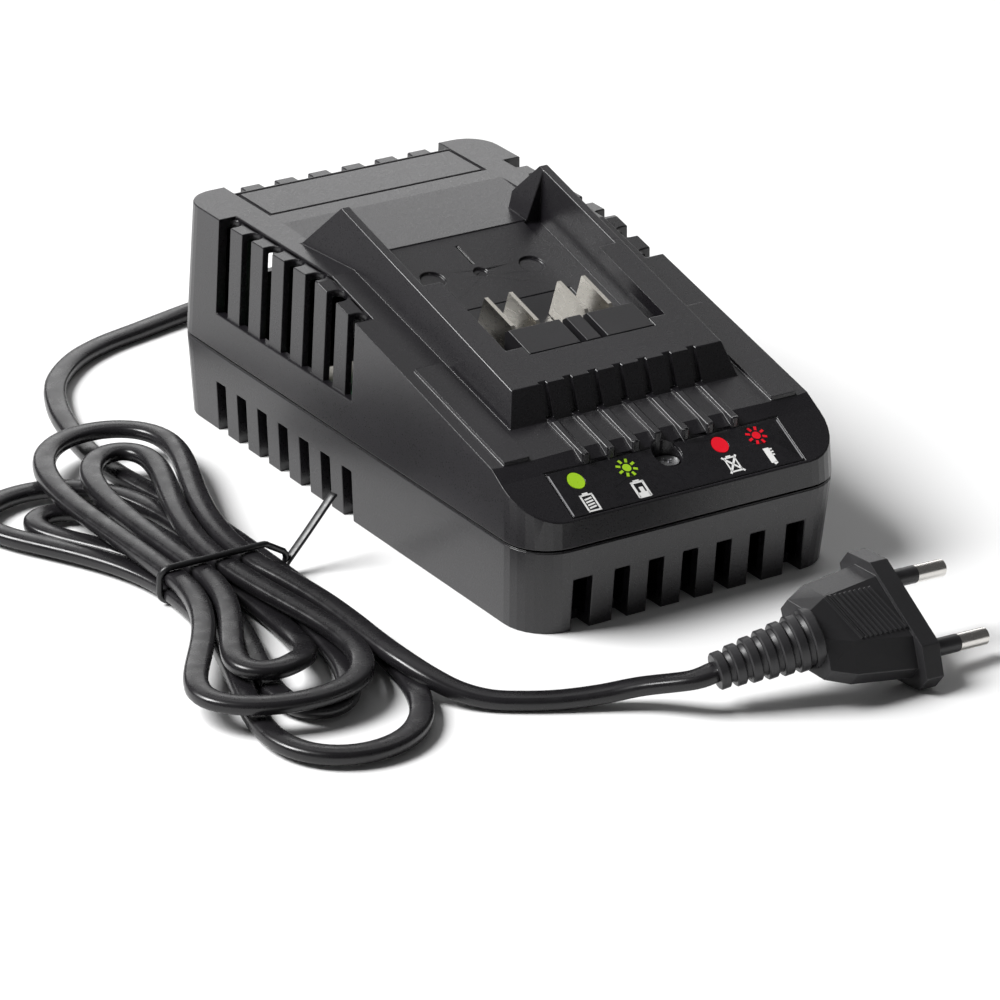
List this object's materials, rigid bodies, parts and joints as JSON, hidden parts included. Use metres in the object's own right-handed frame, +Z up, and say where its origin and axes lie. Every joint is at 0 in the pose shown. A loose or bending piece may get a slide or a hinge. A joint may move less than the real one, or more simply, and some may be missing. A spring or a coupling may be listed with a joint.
{
  "type": "power tool battery charger",
  "caption": "Black desktop charger for a slide-on power tool battery, with its flat mains cord tied in a hank and a two-pin plug.",
  "frame": {"origin": "middle of the base, on the surface it stands on", "axes": "+Z up, -Y towards the indicator panel, +X to the right seen from the indicator side"},
  "size_m": [0.1681, 0.2631, 0.0644],
  "materials": {
    "housing_plastic": "fine textured black",
    "panel_film": "satin black film",
    "carrier_plastic": "matt black",
    "green_lens": "clear green",
    "red_lens": "clear red",
    "blade_metal": "nickel plated",
    "screw_steel": "zinc plated",
    "board": "green laminate",
    "ferrite": "matt",
    "copper": "lacquered wire",
    "sink_aluminium": "satin",
    "capacitor_sleeve": "shrink sleeve",
    "wire_insulation": "satin",
    "fuse_body": "glazed",
    "lamp_body": "clear",
    "cord_jacket": "satin black",
    "plug_plastic": "satin black",
    "pin_metal": "nickel plated",
    "tie_rubber": "matt"
  },
  "bodies": {
    "root": {"upper_housing": "housing_plastic", "lower_housing": "housing_plastic", "indicator_panel": "panel_film", "green_light_pipes": "green_lens", "red_light_pipes": "red_lens", "panel_screw": "screw_steel", "contact_carrier": "carrier_plastic", "blade_negative": "blade_metal", "blade_sense": "blade_metal", "blade_identity": "blade_metal", "blade_positive": "blade_metal", "housing_screws": "screw_steel", "circuit_board": "board", "board_screws": "screw_steel", "indicator_board": "board", "indicator_lamps": "lamp_body", "transformer_core": "ferrite", "transformer_winding": "copper", "heat_sink": "sink_aluminium", "mains_capacitor": "capacitor_sleeve", "output_capacitor": "capacitor_sleeve", "choke": "copper", "fuse": "fuse_body", "output_leads": "wire_insulation", "mains_leads": "wire_insulation", "cord_clamp": "carrier_plastic", "clamp_screws": "screw_steel", "cord_relief": "cord_jacket", "cord_from_housing": "cord_jacket", "cord_hank": "cord_jacket", "cord_to_plug": "cord_jacket", "hank_tie": "tie_rubber", "plug_body": "plug_plastic", "plug_relief": "plug_plastic", "plug_sleeves": "plug_plastic", "plug_pins": "pin_metal"}
  },
  "joints": []
}
